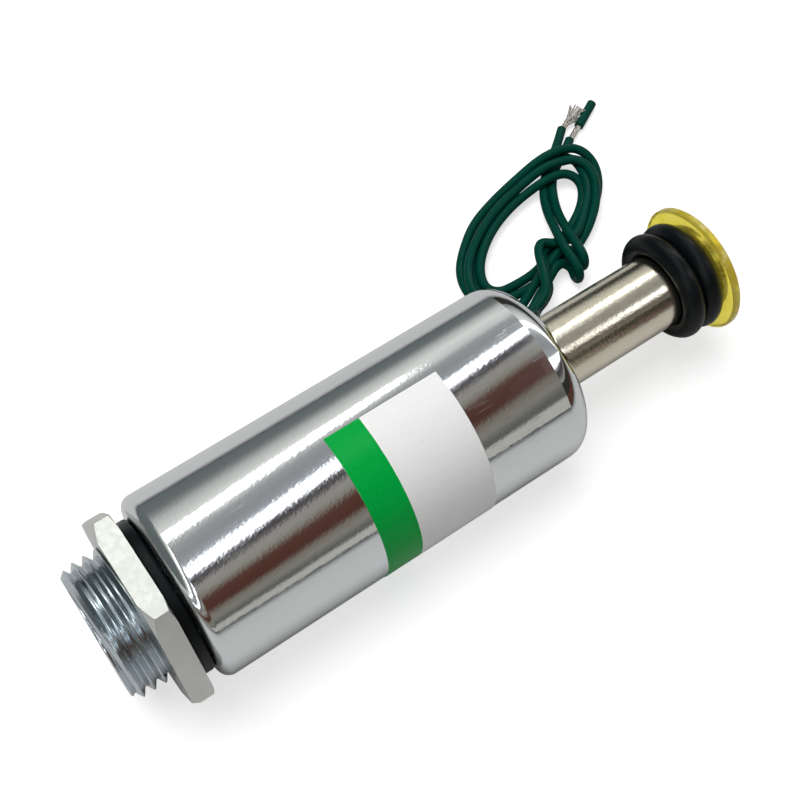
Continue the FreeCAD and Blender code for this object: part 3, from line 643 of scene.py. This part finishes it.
def split_by_eye(tree, path, seen, unseen):
    """One shader for what the camera sees, also through the clear disc, and another for all other rays."""
    both = tree.nodes.new("ShaderNodeMixShader")
    eye = calc(tree, "MAXIMUM", path.outputs["Is Camera Ray"], path.outputs["Is Transmission Ray"])
    link(tree, eye, both.inputs["Fac"])
    link(tree, unseen, both.inputs[1])
    link(tree, seen, both.inputs[2])
    return both.outputs[0]


def floor():
    """White to the eye but for the part's shadow, and grey in what the metal reflects, with painted shade that
    darkens it further out.
    """
    mesh = bpy.data.meshes.new("floor")
    corners = [(x * FLOOR_HALF, y * FLOOR_HALF, -FLOOR_DEPTH) for x, y in ((-1, -1), (1, -1), (1, 1), (-1, 1))]
    mesh.from_pydata(corners, [], [(0, 1, 2, 3)])
    piece = bpy.data.objects.new("floor", mesh)
    scene.collection.objects.link(piece)
    material, tree, shader = new_material("floor_look")
    place = tree.nodes.new("ShaderNodeVectorMath")
    place.operation = "LENGTH"
    link(tree, part_coordinates(tree), place.inputs[0])
    far = calc(tree, "ADD", place.outputs["Value"], calc(tree, "MULTIPLY", noise(tree, 40.0), 0.01))
    # Painted shade: the grey falls from 0.60 near the part to 0.20 far out, standing in for the light falling off
    # with distance.
    tone = ramp(tree, far, [(0.15, 0.60), (0.28, 0.40), (0.6, 0.24), (1.0, 0.20)])
    link(tree, tone, shader.inputs["Base Color"])
    shader.inputs["Roughness"].default_value = 0.9
    shader.inputs["Specular IOR Level"].default_value = 0.1
    glow = tree.nodes.new("ShaderNodeEmission")
    link(tree, calc(tree, "MULTIPLY_ADD", tone, -0.62, 1.0), glow.inputs["Strength"])
    glowing = tree.nodes.new("ShaderNodeAddShader")
    link(tree, shader.outputs["BSDF"], glowing.inputs[0])
    link(tree, glow.outputs["Emission"], glowing.inputs[1])
    path = tree.nodes.new("ShaderNodeLightPath")
    shown = split_by_eye(tree, path, glowing.outputs[0], shader.outputs["BSDF"])
    link(tree, shown, tree.nodes["Material Output"].inputs["Surface"])
    mesh.materials.append(material)


def studio():
    """The world: bands and lamps for the metal to reflect, and plain white for the camera.

    A direction is told by its angle round the part's axis and by its lean along it. Those that lean to the
    rear, which the case's round shoulder reflects, see the bands shifted, and near-black beside both
    horizons. The others see the bands shifted with the lean, and the first lamp fades with it.
    """
    world = bpy.data.worlds.new("studio")
    world.use_nodes = True
    scene.world = world
    tree = world.node_tree
    tree.nodes.clear()
    source = tree.nodes.new("ShaderNodeTexCoord")
    place = tree.nodes.new("ShaderNodeSeparateXYZ")
    link(tree, source.outputs["Generated"], place.inputs["Vector"])
    round_axis = calc(tree, "ARCTAN2", place.outputs["Z"], place.outputs["Y"])
    degrees = calc(tree, "MULTIPLY", round_axis, 180 / math.pi)
    along = place.outputs["X"]
    rear_start, rear_width = 0.384, 0.013
    rear = calc(tree, "MULTIPLY_ADD", along, 1 / rear_width, -rear_start / rear_width, clamp=True)
    front = calc(tree, "SUBTRACT", 1.0, rear)
    skew = calc(tree, "MULTIPLY", calc(tree, "SUBTRACT", along, 0.14), 125.0)
    skew = calc(tree, "MULTIPLY", calc(tree, "MULTIPLY", skew, calc(tree, "SINE", round_axis)), front)
    lift = calc(tree, "MULTIPLY", calc(tree, "SUBTRACT", 1.0, calc(tree, "COSINE", round_axis)), -15.0)
    lift = calc(tree, "MULTIPLY", lift, rear)
    bent = calc(tree, "ADD", degrees, calc(tree, "ADD", skew, lift))
    share = calc(tree, "DIVIDE", bent, HALF_ROUND, clamp=True)
    bands = ramp(tree, share, [(angle / HALF_ROUND, colour) for angle, colour in ROOM_BANDS])
    lamps = ramp(tree, share, [(angle / HALF_ROUND, amount) for angle, amount in ROOM_LAMPS])
    low_behind = calc(tree, "LESS_THAN", degrees, 20.0)
    low_before = calc(tree, "COMPARE", degrees, 157.0, 9.0)
    low = calc(tree, "MULTIPLY", calc(tree, "MAXIMUM", low_behind, low_before), rear)
    bands = mix(tree, low, bands, (0.03, 0.03, 0.025))
    lamp_end, lamp_fade = 0.30, 0.06
    fade = calc(tree, "MULTIPLY_ADD", along, -1 / lamp_fade, lamp_end / lamp_fade, clamp=True)
    fade = calc(tree, "MAXIMUM", calc(tree, "MAXIMUM", fade, rear), calc(tree, "GREATER_THAN", bent, 75.0))
    bright = calc(tree, "MULTIPLY_ADD", calc(tree, "MULTIPLY", lamps, fade), LAMP_STRENGTH, 1.0)
    path = tree.nodes.new("ShaderNodeLightPath")
    fill = calc(tree, "MULTIPLY_ADD", path.outputs["Is Glossy Ray"], 0.55, 0.45)
    room = tree.nodes.new("ShaderNodeBackground")
    link(tree, bands, room.inputs["Color"])
    link(tree, calc(tree, "MULTIPLY", bright, fill), room.inputs["Strength"])
    white = tree.nodes.new("ShaderNodeBackground")
    white.inputs["Color"].default_value = (1, 1, 1, 1)
    output = tree.nodes.new("ShaderNodeOutputWorld")
    link(tree, split_by_eye(tree, path, white.outputs[0], room.outputs[0]), output.inputs["Surface"])


def soft_lamp(place, aim, width, power):
    """A round lamp that matt surfaces see and the metal doesn't reflect."""
    data = bpy.data.lights.new("soft_lamp", "AREA")
    data.shape = "DISK"
    data.size = width
    data.energy = power
    lamp = bpy.data.objects.new("soft_lamp", data)
    scene.collection.objects.link(lamp)
    lamp.location = place
    lamp.rotation_euler = (Vector(aim) - Vector(place)).to_track_quat("-Z", "Y").to_euler()
    lamp.visible_glossy = False


floor()
studio()
soft_lamp((-0.12, 0.19, 0.75), (0, 0, 0), 0.7, 4.8)
